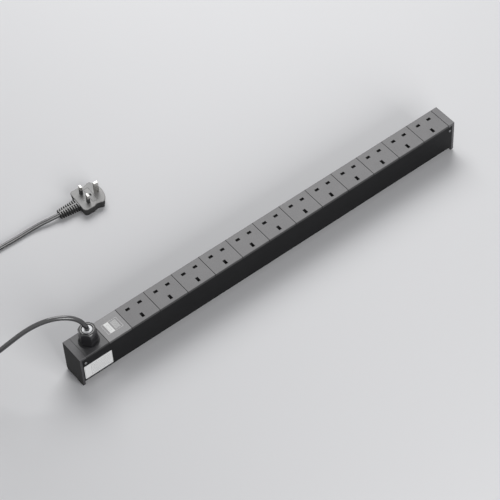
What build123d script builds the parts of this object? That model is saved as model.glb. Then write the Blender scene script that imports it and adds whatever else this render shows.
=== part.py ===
from build123d import *
import math
import os

# A 12 way vertical rack power strip with a free lead and a moulded 13 A plug.
# Millimetres. Origin at the bottom centre of the strip, X along it, Y to the back, Z up.

# Strip layout
socket_count = 12
socket_pitch = 52.5
end_module_pitch = 42.0
cap_length = 12.0
strip_width = 44.5
strip_height = 65.0
module_gap = 0.3

# Extrusion
rail_height = 9.7
profile_wall = 1.8
profile_floor = 2.0
profile_chamfer = 0.8
rail_width = 26.0
rail_wall = 2.0
rail_lip = 2.0
rail_slot_width = 8.6
bead_depth = 1.0
bead_height = 1.5
bead_drop = 2.5

# End caps and their screws
cap_plate = 4.0
cap_corner = 4.0
cap_spigot_wall = 2.2
cap_screw_from_plate = 5.6
cap_screw_drop = 13.5
cap_screw_head_radius = 2.3
cap_screw_head_height = 1.2
cap_screw_radius = 1.4
cap_screw_length = 3.6
cap_screw_head_taper = 30.0

# Modules
band_height = 4.5
plate_thickness = 3.0
band_chamfer = 0.5
leg_width = 5.0
leg_thickness = 1.6
leg_inset = 7.25
leg_length = 9.0
hook_height = 1.0
hook_lead = 2.3
catch_depth = 0.75
catch_lead = 1.9

# Pins of a 13 A plug, and the slots that take them
pin_spacing = 22.23
line_pin_width = 6.35
line_pin_thickness = 4.0
line_pin_length = 17.7
earth_pin_width = 8.0
earth_pin_thickness = 4.0
earth_pin_length = 22.7
slot_clearance = 0.4
line_slot_y = 10.0

# Shutters
shutter_thickness = 2.2
shutter_travel = 5.4
shutter_gap = 0.4
shutter_seat = 0.3
cover_margin = 0.6
stem_width = 6.0
crossbar_depth = 2.0

# Contact carriers, leaf springs and busbars
carrier_length = 50.0
carrier_plate = 2.0
carrier_side_gap = 0.35
rib_thickness = 3.0
rib_bottom = 36.0
window_clearance = 0.3
pillar_x = 20.5
pillar_y = 14.0
pillar_size = 4.0
post_width = 4.0
post_depth = 0.8
spring_thickness = 0.3
spring_width = 1.6
spring_half_span = 5.5
strip_thickness = 1.2
strip_depth = 12.0
live_strip_y = 15.5
neutral_strip_y = 3.6
earth_strip_y = -6.0
clip_gap = 3.8
clip_thickness = 0.8
clip_flare = 1.0
clip_height = 17.0
clip_top_drop = 1.2
line_clip_width = 6.0
earth_clip_width = 7.0
notch_clearance = 0.1
busbar_overhang = 15.0

# Terminal block, cores and earth bond
block_length = 16.0
block_bottom_wall = 3.0
block_side = 4.0
block_cover = 4.0
block_end_x = -290.0
busbar_entry = 10.0
clamp_screw_radius = 1.9
clamp_head_radius = 2.7
clamp_head_height = 2.2
core_diameter = 2.6
core_circle = 1.8
core_gap = 0.3
core_straight = 12.0
neutral_straight = 6.0
core_lead_in = 3.0
core_slope = 0.01
bond_x = -322.0
bond_y = -11.0
bond_screw_radius = 2.0
bond_head_radius = 3.5
bond_head_height = 2.4
bond_ring_radius = 4.0
bond_ring_thickness = 0.8
bond_crimp_length = 1.0
bond_lead_bend = 9.0
bond_lead_rise = 16.0

# Gland
gland_x = -336.0
gland_turn = 14.3
gland_thread_radius = 9.9
gland_hole_gap = 0.2
gland_washer_radius = 16.5
gland_washer_thickness = 1.2
gland_hex_flats = 26.0
gland_hex_height = 5.0
gland_thread_length = 10.0
locknut_flats = 25.0
locknut_height = 5.0
gland_nut_height = 22.5
gland_nut_gap = 0.3
gland_rim_radius = 11.6
gland_mouth_radius = 8.9
gland_dome_height = 6.0
gland_dome_bulge = 1.1
gland_dome_bulge_drop = 2.0
gland_spigot_radius = 10.4
gland_spigot_height = 11.0
gland_bore_radius = 5.5
seal_radius = 8.3
seal_gap = 0.2
seal_top_drop = 0.8

# Cord
cord_diameter = 7.5
cord_entry_end = 46.0
cord_lean = 0.7
tail_straight = 14.0
coil_turn_radius = 45.0
coil_columns = 4
coil_layers = 2
coil_x = -450.0
coil_corner = 3.0
coil_clearance = 0.8

# Plug, which lies on its back with its pins up
plug_x = -159.9
plug_y = 270.6
plug_yaw = -3.4
plug_depth = 16.0
plug_half_width = 24.5
plug_cord_side = 15.0
plug_earth_side = 32.0
plug_end_corner_x = 28.0
plug_end_corner_y = 18.0
plug_taper = 7.0
plug_corner = 5.0
plug_cord_corner = 6.0
plug_waist_blend = 2.5
plug_recess_x = 11.0
plug_recess_depth = 2.2
plug_recess_radius = 12.2
plug_rim = 0.8
pin_root = 8.0
pin_chamfer = 0.9
sleeve_length = 9.5
sleeve_wall = 0.5
fuse_carrier_x = 10.6
fuse_carrier_width = 8.6
fuse_carrier_length = 30.0
fuse_carrier_depth = 11.0
fuse_carrier_gap = 0.3
fuse_radius = 3.15
fuse_length = 25.4
fuse_gap = 0.3
fuse_axis_height = 9.2
pry_slot_length = 5.0
pry_slot_width = 1.4
pry_slot_depth = 1.5
relief_length = 34.0
relief_root_width = 20.0
relief_root_height = 14.5
relief_end_width = 15.5
relief_end_height = 12.5
relief_axis_height = 8.0
relief_rib_count = 8
relief_rib_thickness = 1.8
relief_groove = 2.6
relief_spine_width = 2.6
relief_core_corner = 2.8
relief_rib_corner = 4.2

# Places worked out from the sizes above
strip_length = 2 * cap_length + 2 * end_module_pitch + socket_count * socket_pitch
strip_end = strip_length / 2
outer_half = strip_width / 2
inner_half = outer_half - profile_wall
wall_top = strip_height - band_height
plate_under = strip_height - plate_thickness
inner_floor = rail_height + profile_floor
bead_top = wall_top - bead_drop
bead_bottom = bead_top - bead_height
modules_start = -strip_end + cap_length
sockets_start = modules_start + 2 * end_module_pitch
socket_xs = [sockets_start + (i + 0.5) * socket_pitch for i in range(socket_count)]
socket_row_centre = sockets_start + socket_count * socket_pitch / 2
earth_slot_y = line_slot_y - pin_spacing
line_slot_size = (line_pin_width + 2 * slot_clearance, line_pin_thickness + 2 * slot_clearance)
earth_slot_size = (earth_pin_thickness + 2 * slot_clearance, earth_pin_width + 2 * slot_clearance)
line_offset = pin_spacing / 2

shutter_top = plate_under - shutter_gap
shutter_bottom = shutter_top - shutter_thickness
carrier_top = shutter_bottom - shutter_seat
carrier_under = carrier_top - carrier_plate
leg_outer = inner_half - bead_depth - module_gap / 2
leg_inner = leg_outer - leg_thickness
carrier_half = leg_inner - carrier_side_gap

parts = []


def keep(builder, name):
    """Label a finished piece and put it on the list to export."""
    builder.part.label = name
    parts.append(builder.part)
    return builder.part


def hexagon(flats):
    """A hexagon turned as the gland's flats are."""
    return RegularPolygon(flats / 2, 6, major_radius=False, rotation=gland_turn)


def corner_radii(points):
    """The largest arc that each corner of a cord's route allows."""
    vectors = [Vector(*p) for p in points]
    radii = []
    for before, corner, after in zip(vectors, vectors[1:], vectors[2:]):
        run_in = corner - before
        run_out = after - corner
        half_turn = math.radians(run_in.get_angle(run_out)) / 2
        radii.append(0.45 * min(run_in.length, run_out.length) / math.tan(half_turn))
    return radii


def tube(points, diameter):
    """A round tube along straight runs joined by tangent arcs."""
    with BuildPart() as swept:
        with BuildLine() as route:
            FilletPolyline(*points, radius=corner_radii(points))
        with BuildSketch(Plane(origin=route.line @ 0, z_dir=route.line % 0)):
            Circle(diameter / 2)
        sweep(path=route.line)
    return swept.part


# Extrusion: a deep tray with a T-slot rail under its floor
profile_length = strip_length - 2 * cap_plate
cap_screw_x = strip_end - cap_plate - cap_screw_from_plate
cap_screw_z = strip_height - cap_screw_drop

with BuildPart() as profile:
    with BuildSketch(Plane.YZ.offset(-profile_length / 2)):
        with BuildLine():
            Polyline(
                (0, inner_floor),
                (inner_half, inner_floor),
                (inner_half, bead_bottom),
                (inner_half - bead_depth, bead_bottom),
                (inner_half - bead_depth, bead_top - bead_depth),
                (inner_half, bead_top),
                (inner_half, wall_top),
                (outer_half, wall_top),
                (outer_half, rail_height + profile_chamfer),
                (outer_half - profile_chamfer, rail_height),
                (rail_width / 2, rail_height),
                (rail_width / 2, 0),
                (rail_slot_width / 2, 0),
                (rail_slot_width / 2, rail_lip),
                (rail_width / 2 - rail_wall, rail_lip),
                (rail_width / 2 - rail_wall, rail_height),
                (0, rail_height),
                close=True,
            )
        make_face()
        mirror(about=Plane.YZ)
    extrude(amount=profile_length)
    with BuildSketch(Plane.XZ):
        with Locations((-cap_screw_x, cap_screw_z), (cap_screw_x, cap_screw_z)):
            Circle(cap_screw_radius + notch_clearance)
    extrude(amount=outer_half, both=True, mode=Mode.SUBTRACT)
    with BuildSketch(Plane.XY.offset(rail_height)):
        with Locations((bond_x, bond_y)):
            Circle(bond_screw_radius + notch_clearance)
    extrude(amount=profile_floor, mode=Mode.SUBTRACT)
keep(profile, "profile")


def end_cap(side, name):
    """Top flange, end plate and a hollow spigot that the side screws grip."""
    plate_x = side * (strip_end - cap_plate)
    spigot_half = inner_half - bead_depth - module_gap / 2
    spigot_bottom = inner_floor + module_gap
    with BuildPart() as cap:
        with BuildSketch(Plane.YZ.offset(plate_x)):
            with Locations((0, strip_height / 2)):
                Rectangle(strip_width, strip_height)
            fillet(cap_lower_corners(vertices()), cap_corner)
            chamfer(vertices().group_by(Axis.Y)[-1], band_chamfer)
        extrude(amount=side * cap_plate)
        with BuildSketch(Plane.YZ.offset(plate_x)):
            with BuildLine():
                Polyline(*band_section(), close=True)
            make_face()
        extrude(amount=side * (cap_plate + module_gap / 2 - cap_length))
        with BuildSketch(Plane.YZ.offset(plate_x)):
            with Locations((0, (plate_under + spigot_bottom) / 2)):
                Rectangle(2 * spigot_half, plate_under - spigot_bottom)
                Rectangle(
                    2 * (spigot_half - cap_spigot_wall),
                    plate_under - spigot_bottom - 2 * cap_spigot_wall,
                    mode=Mode.SUBTRACT,
                )
        extrude(amount=-side * (cap_length - cap_plate - module_gap))
        with BuildSketch(Plane.XZ):
            with Locations((side * cap_screw_x, cap_screw_z)):
                Circle(cap_screw_radius + notch_clearance)
        extrude(amount=outer_half, both=True, mode=Mode.SUBTRACT)
    return keep(cap, name)


def cap_lower_corners(corners):
    """The two corners of the end plate that stand on the floor."""
    return corners.group_by(Axis.Y)[0]


def band_section():
    """Cross-section of a top plate with its two side bands, in Y and Z."""
    band_inner = inner_half + module_gap / 2
    return [
        (-outer_half, wall_top),
        (-outer_half, strip_height - band_chamfer),
        (-outer_half + band_chamfer, strip_height),
        (outer_half - band_chamfer, strip_height),
        (outer_half, strip_height - band_chamfer),
        (outer_half, wall_top),
        (band_inner, wall_top),
        (band_inner, plate_under),
        (-band_inner, plate_under),
        (-band_inner, wall_top),
    ]


def leg_section():
    """Cross-section of a snap leg: outward hook under the bead, inward catch under the carrier."""
    hook_top = bead_bottom - module_gap / 2
    leg_bottom = plate_under - leg_length
    return [
        (leg_inner, plate_under),
        (leg_inner, carrier_under),
        (leg_inner - catch_depth, carrier_under),
        (leg_inner, carrier_under - catch_lead),
        (leg_inner, leg_bottom),
        (leg_outer, leg_bottom),
        (leg_outer + bead_depth, hook_top - hook_height),
        (leg_outer + bead_depth, hook_top),
        (leg_outer, hook_top),
        (leg_outer, plate_under),
    ]


def module(x_start, pitch):
    """Top plate, side bands and four snap legs that every module shares."""
    with BuildPart() as shell:
        with BuildSketch(Plane.YZ.offset(x_start + module_gap / 2)):
            with BuildLine():
                Polyline(*band_section(), close=True)
            make_face()
        extrude(amount=pitch - module_gap)
        for leg_x in (x_start + leg_inset, x_start + pitch - leg_inset):
            with BuildSketch(Plane.YZ.offset(leg_x - leg_width / 2)):
                with BuildLine():
                    Polyline(*leg_section(), close=True)
                make_face()
                mirror(about=Plane.YZ)
            extrude(amount=leg_width)
    return shell.part


end_cap(-1, "end_cap_left")
end_cap(1, "end_cap_right")

# Round-headed screws, two to each end cap
with BuildPart() as cap_screws:
    for side in (-1, 1):
        face = Plane(origin=(0, side * outer_half, cap_screw_z), x_dir=(1, 0, 0), z_dir=(0, side, 0))
        for x in (-cap_screw_x, cap_screw_x):
            with BuildSketch(face):
                with Locations((x, 0)):
                    Circle(cap_screw_head_radius)
            extrude(amount=cap_screw_head_height, taper=cap_screw_head_taper)
            with BuildSketch(face):
                with Locations((x, 0)):
                    Circle(cap_screw_radius)
            extrude(amount=-cap_screw_length)
keep(cap_screws, "cap_screws")

# Gland module and blank module
gland_shell = module(modules_start, end_module_pitch)
with BuildPart() as gland_module:
    add(gland_shell)
    with BuildSketch(Plane.XY.offset(plate_under)):
        with Locations((gland_x, 0)):
            Circle(gland_thread_radius + gland_hole_gap)
    extrude(amount=plate_thickness, mode=Mode.SUBTRACT)
keep(gland_module, "gland_module")

blank_shell = module(modules_start + end_module_pitch, end_module_pitch)
with BuildPart() as blank_module:
    add(blank_shell)
keep(blank_module, "blank_module")

# Socket modules: three slots each, and four pillars for the contact carrier
for number, x in enumerate(socket_xs, start=1):
    shell = module(x - socket_pitch / 2, socket_pitch)
    with BuildPart() as socket:
        add(shell)
        with BuildSketch(Plane.XY.offset(plate_under)):
            with Locations((x - line_offset, line_slot_y), (x + line_offset, line_slot_y)):
                Rectangle(*line_slot_size)
            with Locations((x, earth_slot_y)):
                Rectangle(*earth_slot_size)
        extrude(amount=plate_thickness, mode=Mode.SUBTRACT)
        with BuildSketch(Plane.XY.offset(carrier_top)):
            with Locations((x, 0)):
                with GridLocations(2 * pillar_x, 2 * pillar_y, 2, 2):
                    Rectangle(pillar_size, pillar_size)
        extrude(amount=plate_under - carrier_top)
    keep(socket, f"socket_{number:02d}")

# Shutters: two covers on a crossbar, a stem and the ramp that the earth pin pushes back
cover_front = line_slot_y - line_slot_size[1] / 2 - cover_margin
cover_back = line_slot_y + line_slot_size[1] / 2 + cover_margin
cover_width = line_slot_size[0] + 2 * cover_margin
ramp_back = earth_slot_y + earth_pin_width / 2
ramp_front = ramp_back - shutter_travel
ramp_half = earth_pin_thickness / 2 + slot_clearance / 2
crossbar_back = cover_front + crossbar_depth

for number, x in enumerate(socket_xs, start=1):
    with BuildPart() as shutter:
        with BuildSketch(Plane.XY.offset(shutter_bottom)):
            with Locations((x, (ramp_back + crossbar_back) / 2)):
                Rectangle(stem_width, crossbar_back - ramp_back)
            with Locations((x, (cover_front + crossbar_back) / 2)):
                Rectangle(pin_spacing, crossbar_depth)
            with Locations((x, (cover_front + cover_back) / 2)):
                with GridLocations(pin_spacing, 0, 2, 1):
                    Rectangle(cover_width, cover_back - cover_front)
        extrude(amount=shutter_thickness)
        with BuildSketch(Plane.YZ.offset(x - ramp_half)):
            with BuildLine():
                Polyline(
                    (ramp_back, shutter_top),
                    (ramp_back, shutter_top - shutter_travel),
                    (ramp_front, shutter_top - shutter_travel),
                    close=True,
                )
            make_face()
        extrude(amount=2 * ramp_half)
    keep(shutter, f"shutter_{number:02d}")

# Contact carriers: a windowed plate under the shutter, two notched ribs and a spring post
strips = {
    "live": (live_strip_y, rib_bottom),
    "neutral": (neutral_strip_y, rib_bottom),
    "earth": (earth_strip_y, rib_bottom - clip_top_drop),
}
window_front = earth_slot_y - earth_slot_size[1] / 2 - window_clearance
window_back = ramp_back + shutter_travel + window_clearance
post_front = carrier_half - post_depth

with BuildPart() as carrier:
    with BuildSketch(Plane.XY.offset(carrier_under)):
        Rectangle(carrier_length, 2 * carrier_half)
        with Locations((0, line_slot_y)):
            with GridLocations(pin_spacing, 0, 2, 1):
                Rectangle(
                    line_slot_size[0] + 2 * window_clearance,
                    line_slot_size[1] + 2 * window_clearance,
                    mode=Mode.SUBTRACT,
                )
        with Locations((0, (window_front + window_back) / 2)):
            Rectangle(
                2 * (ramp_half + window_clearance),
                window_back - window_front,
                mode=Mode.SUBTRACT,
            )
    extrude(amount=carrier_plate)
    for rib_x in (-carrier_length / 2, carrier_length / 2 - rib_thickness):
        with BuildSketch(Plane.YZ.offset(rib_x)):
            with Locations((0, (rib_bottom + carrier_under) / 2)):
                Rectangle(2 * carrier_half, carrier_under - rib_bottom)
            for strip_y, strip_bottom in strips.values():
                with Locations((strip_y, strip_bottom + strip_depth / 2)):
                    Rectangle(
                        strip_thickness + 2 * notch_clearance, strip_depth, mode=Mode.SUBTRACT
                    )
        extrude(amount=rib_thickness)
    with BuildSketch(Plane.XY.offset(carrier_top)):
        with Locations((0, carrier_half - post_depth / 2)):
            Rectangle(post_width, post_depth)
    extrude(amount=shutter_thickness)

with BuildPart() as contact_carriers:
    with Locations((socket_row_centre, 0, 0)):
        with GridLocations(socket_pitch, 0, socket_count, 1):
            add(carrier.part)
keep(contact_carriers, "contact_carriers")

# Leaf springs that push each shutter shut
spring_seat = crossbar_back + shutter_seat
spring_back = post_front - shutter_seat

with BuildPart() as shutter_springs:
    with BuildSketch(Plane.XY.offset(shutter_bottom + (shutter_thickness - spring_width) / 2)):
        with BuildLine():
            Polyline(
                (-spring_half_span, spring_seat),
                (-spring_half_span + spring_thickness, spring_seat),
                (0, spring_back - spring_thickness),
                (spring_half_span - spring_thickness, spring_seat),
                (spring_half_span, spring_seat),
                (0, spring_back),
                close=True,
            )
        leaf = make_face(mode=Mode.PRIVATE)
        with Locations((socket_row_centre, 0)):
            with GridLocations(socket_pitch, 0, socket_count, 1):
                add(leaf)
    extrude(amount=spring_width)
keep(shutter_springs, "shutter_springs")


def clip_section(bottom):
    """A spring clip with flared lips, open at the top, about its own centre line."""
    inner = clip_gap / 2
    outer = inner + clip_thickness
    neck = bottom + clip_height - 2 * clip_flare
    top = bottom + clip_height
    return [
        (-outer, bottom),
        (outer, bottom),
        (outer, neck),
        (outer + clip_flare, top),
        (inner + clip_flare, top),
        (inner, neck),
        (inner, bottom + clip_thickness),
        (-inner, bottom + clip_thickness),
        (-inner, neck),
        (-inner - clip_flare, top),
        (-outer - clip_flare, top),
        (-outer, neck),
    ]


def busbar(name, pin_x):
    """A brass strip with a clip at every socket, folded from one blank."""
    strip_y, bottom = strips[name]
    start = block_end_x - busbar_entry
    end = socket_xs[-1] + busbar_overhang
    clip_outer = clip_gap / 2 + clip_thickness
    with BuildPart() as bar:
        with BuildSketch(Plane.XY.offset(bottom)):
            with Locations(((start + end) / 2, strip_y)):
                Rectangle(end - start, strip_thickness)
        extrude(amount=strip_depth)
        for x in socket_xs:
            if name == "earth":
                back = earth_slot_y + earth_clip_width / 2
                with BuildSketch(Plane.XZ.offset(-back)):
                    with BuildLine():
                        Polyline(*[(x + u, v) for u, v in clip_section(bottom)], close=True)
                    make_face()
                extrude(amount=earth_clip_width)
                tab_width = 2 * clip_outer
                tab = (back, strip_y)
            else:
                with BuildSketch(Plane.YZ.offset(x + pin_x - line_clip_width / 2)):
                    with BuildLine():
                        Polyline(
                            *[(line_slot_y + u, v) for u, v in clip_section(bottom)], close=True
                        )
                    make_face()
                extrude(amount=line_clip_width)
                tab_width = line_clip_width
                tab = (line_slot_y, strip_y)
            with BuildSketch(Plane.XY.offset(bottom)):
                with Locations((x + pin_x, sum(tab) / 2)):
                    Rectangle(tab_width, abs(tab[1] - tab[0]))
            extrude(amount=clip_thickness)
    return keep(bar, f"busbar_{name}")


busbar("live", -line_offset)
busbar("neutral", line_offset)
busbar("earth", 0)

# Terminal block: a hollow pedestal on the extrusion's floor, with a cell for each busbar
block_front = earth_strip_y - block_side
block_back = live_strip_y + block_side
block_top = rib_bottom + strip_depth + block_cover
block_start = block_end_x - block_length
core_height = rib_bottom + strip_depth / 2
clamp_x = block_end_x - busbar_entry / 2
strip_end_x = block_end_x - busbar_entry

with BuildPart() as terminal_block:
    with BuildSketch(Plane.XY.offset(inner_floor)):
        with Locations(((block_start + block_end_x) / 2, (block_front + block_back) / 2)):
            Rectangle(block_length, block_back - block_front)
    extrude(amount=block_top - inner_floor)
    with BuildSketch(Plane.XY.offset(inner_floor)):
        with Locations(((block_start + block_end_x) / 2, (block_front + block_back) / 2)):
            Rectangle(
                block_length - 2 * block_bottom_wall, block_back - block_front - 2 * block_bottom_wall
            )
    extrude(amount=rib_bottom - clip_top_drop - block_bottom_wall - inner_floor, mode=Mode.SUBTRACT)
    for strip_y, strip_bottom in strips.values():
        with BuildSketch(Plane.YZ.offset(strip_end_x)):
            with Locations((strip_y, strip_bottom + strip_depth / 2)):
                Rectangle(strip_thickness + 2 * notch_clearance, strip_depth)
        extrude(amount=busbar_entry, mode=Mode.SUBTRACT)
        with BuildSketch(Plane.YZ.offset(block_start)):
            with Locations((strip_y, core_height)):
                Circle(core_diameter / 2 + core_gap)
        extrude(amount=strip_end_x - block_start, mode=Mode.SUBTRACT)
        with BuildSketch(Plane.XY.offset(strip_bottom + strip_depth)):
            with Locations((clamp_x, strip_y)):
                Circle(clamp_screw_radius + notch_clearance)
        extrude(amount=block_top - strip_bottom - strip_depth, mode=Mode.SUBTRACT)
    with BuildSketch(Plane.YZ.offset(block_start)):
        with Locations((bond_y + core_diameter, inner_floor + bond_lead_rise / 2)):
            Circle(core_diameter / 2 + core_gap)
    extrude(amount=block_bottom_wall, mode=Mode.SUBTRACT)
keep(terminal_block, "terminal_block")

with BuildPart() as terminal_screws:
    for strip_y, strip_bottom in strips.values():
        with BuildSketch(Plane.XY.offset(strip_bottom + strip_depth)):
            with Locations((clamp_x, strip_y)):
                Circle(clamp_screw_radius)
        extrude(amount=block_top - strip_bottom - strip_depth)
        with BuildSketch(Plane.XY.offset(block_top)):
            with Locations((clamp_x, strip_y)):
                Circle(clamp_head_radius)
        extrude(amount=clamp_head_height)
keep(terminal_screws, "terminal_screws")

# Cores from the cord's end to the terminal block
core_angles = {"live": 120, "neutral": 0, "earth": 240}
for name, angle in core_angles.items():
    start_x = gland_x + core_circle * math.cos(math.radians(angle))
    start_y = core_circle * math.sin(math.radians(angle))
    strip_y = strips[name][0]
    straight = neutral_straight if name == "neutral" else core_straight
    core = tube(
        [
            (start_x, start_y, cord_entry_end),
            (start_x, start_y, cord_entry_end - straight),
            (block_start - core_lead_in, strip_y, core_height),
            (strip_end_x, strip_y, core_height + core_slope),
        ],
        core_diameter,
    )
    with BuildPart() as wire:
        add(core)
    keep(wire, f"wire_{name}")

# Earth bond: a crimped ring under a screw in the extrusion's floor, and its lead
bond_entry = (block_start - block_bottom_wall, bond_y + core_diameter, inner_floor + bond_lead_rise / 2)
bond_route = tube(
    [
        (bond_x + bond_ring_radius - bond_crimp_length, bond_y, inner_floor + core_diameter / 2),
        (block_start - bond_lead_bend, bond_y, inner_floor + core_diameter / 2 + core_gap),
        bond_entry,
        (block_start + block_bottom_wall, bond_entry[1], bond_entry[2] + core_slope),
    ],
    core_diameter,
)
with BuildPart() as bond_lead:
    with BuildSketch(Plane.XY.offset(inner_floor)):
        with Locations((bond_x, bond_y)):
            Circle(bond_ring_radius)
    extrude(amount=bond_ring_thickness)
    add(bond_route)
    with BuildSketch(Plane.XY.offset(inner_floor)):
        with Locations((bond_x, bond_y)):
            Circle(bond_screw_radius + notch_clearance)
    extrude(amount=bond_ring_thickness, mode=Mode.SUBTRACT)
    with BuildSketch(Plane.XY.offset(inner_floor + bond_ring_thickness)):
        with Locations((bond_x, bond_y)):
            Circle(bond_head_radius + notch_clearance)
    extrude(amount=core_diameter, mode=Mode.SUBTRACT)
keep(bond_lead, "bond_lead")

with BuildPart() as bond_screw:
    with BuildSketch(Plane.XY.offset(rail_height)):
        with Locations((bond_x, bond_y)):
            Circle(bond_screw_radius)
    extrude(amount=profile_floor + bond_ring_thickness)
    with BuildSketch(Plane.XY.offset(inner_floor + bond_ring_thickness)):
        with Locations((bond_x, bond_y)):
            Circle(bond_head_radius)
    extrude(amount=bond_head_height)
keep(bond_screw, "bond_screw")

# Gland: washer, threaded body, locknut, dome nut and rubber seal
gland_axis = Plane(origin=(gland_x, 0, 0), x_dir=(1, 0, 0), z_dir=(0, 0, 1))
washer_top = strip_height + gland_washer_thickness
hex_top = washer_top + gland_hex_height
nut_bottom = hex_top + gland_nut_gap
nut_top = nut_bottom + gland_nut_height
spigot_top = hex_top + gland_spigot_height
thread_bottom = plate_under - gland_thread_length + plate_thickness
seal_bottom = hex_top + gland_nut_gap
seal_top = nut_top - seal_top_drop

with BuildPart() as gland_washer:
    with BuildSketch(gland_axis.offset(strip_height)):
        Circle(gland_washer_radius)
        Circle(gland_thread_radius + gland_hole_gap, mode=Mode.SUBTRACT)
    extrude(amount=gland_washer_thickness)
    chamfer(edges().group_by(Axis.Z)[-1].sort_by(SortBy.RADIUS)[-1], gland_washer_thickness / 2)
keep(gland_washer, "gland_washer")

with BuildPart() as gland_body:
    with BuildSketch(gland_axis.offset(washer_top)):
        hexagon(gland_hex_flats)
    extrude(amount=gland_hex_height)
    with BuildSketch(gland_axis.offset(thread_bottom)):
        Circle(gland_thread_radius)
    extrude(amount=washer_top - thread_bottom)
    with BuildSketch(gland_axis.offset(hex_top)):
        Circle(gland_spigot_radius)
    extrude(amount=gland_spigot_height)
    with BuildSketch(gland_axis.offset(seal_bottom)):
        Circle(seal_radius + seal_gap)
    extrude(amount=spigot_top - seal_bottom, mode=Mode.SUBTRACT)
    with BuildSketch(gland_axis.offset(thread_bottom)):
        Circle(gland_bore_radius)
    extrude(amount=seal_bottom - thread_bottom, mode=Mode.SUBTRACT)
keep(gland_body, "gland_body")

with BuildPart() as gland_locknut:
    with BuildSketch(gland_axis.offset(plate_under - locknut_height)):
        hexagon(locknut_flats)
        Circle(gland_thread_radius + notch_clearance, mode=Mode.SUBTRACT)
    extrude(amount=locknut_height)
keep(gland_locknut, "gland_locknut")

with BuildPart() as gland_nut:
    with BuildSketch(gland_axis.offset(nut_bottom)):
        hexagon(gland_hex_flats)
    extrude(amount=gland_nut_height)
    with BuildSketch(Plane(origin=(gland_x, 0, 0), x_dir=(1, 0, 0), z_dir=(0, -1, 0))):
        corner_half = gland_hex_flats / math.sqrt(3)
        with BuildLine():
            Polyline((0, nut_bottom), (corner_half, nut_bottom), (corner_half, nut_top - gland_dome_height))
            ThreePointArc(
                (corner_half, nut_top - gland_dome_height),
                (corner_half - gland_dome_bulge, nut_top - gland_dome_bulge_drop),
                (gland_rim_radius, nut_top),
            )
            Polyline((gland_rim_radius, nut_top), (0, nut_top), (0, nut_bottom))
        make_face()
    revolve(axis=Axis((gland_x, 0, 0), (0, 0, 1)), mode=Mode.INTERSECT)
    with BuildSketch(gland_axis.offset(nut_bottom)):
        Circle(gland_spigot_radius + seal_gap)
    extrude(amount=spigot_top + gland_nut_gap - nut_bottom, mode=Mode.SUBTRACT)
    with BuildSketch(gland_axis.offset(nut_bottom)):
        Circle(gland_mouth_radius)
    extrude(amount=gland_nut_height, mode=Mode.SUBTRACT)
keep(gland_nut, "gland_nut")

with BuildPart() as gland_seal:
    with BuildSketch(gland_axis.offset(seal_bottom)):
        Circle(seal_radius)
        Circle(cord_diameter / 2 + seal_gap, mode=Mode.SUBTRACT)
    extrude(amount=seal_top - seal_bottom)
    chamfer(edges().group_by(Axis.Z)[-1].sort_by(SortBy.RADIUS)[-1], seal_top_drop)
keep(gland_seal, "gland_seal")

# Cord: the end in the gland, the lead to the coil, the coil, and the tail to the plug
cord_radius = cord_diameter / 2
with BuildPart() as cord_entry:
    with BuildSketch(gland_axis.offset(cord_entry_end)):
        Circle(cord_radius)
    extrude(amount=seal_top - cord_lean - cord_entry_end)
keep(cord_entry, "cord_entry")

outer_turn = coil_turn_radius + (coil_columns - 1) * cord_radius
tail_y = 277.5
coil_y = tail_y - outer_turn
tail_height = cord_radius + (coil_layers - 1) * cord_diameter
lead_end = (coil_x - outer_turn, coil_y, cord_radius)
lead_route = [
    (gland_x, 0, seal_top),
    (gland_x - 1.7, 0.8, 103.7),
    (gland_x - 6.2, 2.8, 114.1),
    (gland_x - 13.4, 6.0, 123.1),
    (gland_x - 23.2, 10.3, 129.6),
    (gland_x - 35.0, 15.6, 133.4),
    (gland_x - 49.6, 22.1, 133.8),
    (gland_x - 66.4, 29.6, 129.0),
    (gland_x - 84.2, 37.5, 118.9),
    (gland_x - 104.5, 46.5, 101.8),
    (gland_x - 129.5, 60.0, 76.5),
    (gland_x - 148.0, 78.0, 54.0),
    (gland_x - 161.0, 101.0, 33.0),
    (gland_x - 168.5, 127.0, 16.0),
    (gland_x - 171.5, 154.0, 5.5),
    (gland_x - 171.3, 180.0, cord_radius),
    (lead_end[0], 203.0, cord_radius),
    lead_end,
]
plug_heading = math.radians(plug_yaw)
relief_end, relief_entry = [
    (
        plug_x - distance * math.cos(plug_heading),
        plug_y - distance * math.sin(plug_heading),
        relief_axis_height,
    )
    for distance in (plug_cord_side + relief_length, plug_cord_side + relief_length + tail_straight)
]
tail_route = [
    (coil_x, tail_y, tail_height),
    (coil_x + 24, tail_y, tail_height),
    (coil_x + 50, tail_y + 0.8, 7.8),
    (coil_x + 77, tail_y + 2.4, 4.3),
    (coil_x + 105, tail_y + 3.6, cord_radius),
    (coil_x + 134, tail_y + 3.7, cord_radius + 0.1),
    (coil_x + 163, tail_y + 2.6, cord_radius),
    (coil_x + 188, tail_y + 2.9, cord_radius + 0.4),
    (coil_x + 209, tail_y + 0.9, cord_radius + 2.2),
    relief_entry,
    relief_end,
]
for name, route in (("cord_lead", lead_route), ("cord_tail", tail_route)):
    print(name, "radii", [round(radius, 1) for radius in corner_radii(route)])

lead_tube = tube(lead_route, cord_diameter)
with BuildPart() as cord_lead:
    add(lead_tube)
keep(cord_lead, "cord_lead")

tail_tube = tube(tail_route, cord_diameter)
with BuildPart() as cord_tail:
    add(tail_tube)
keep(cord_tail, "cord_tail")

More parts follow.
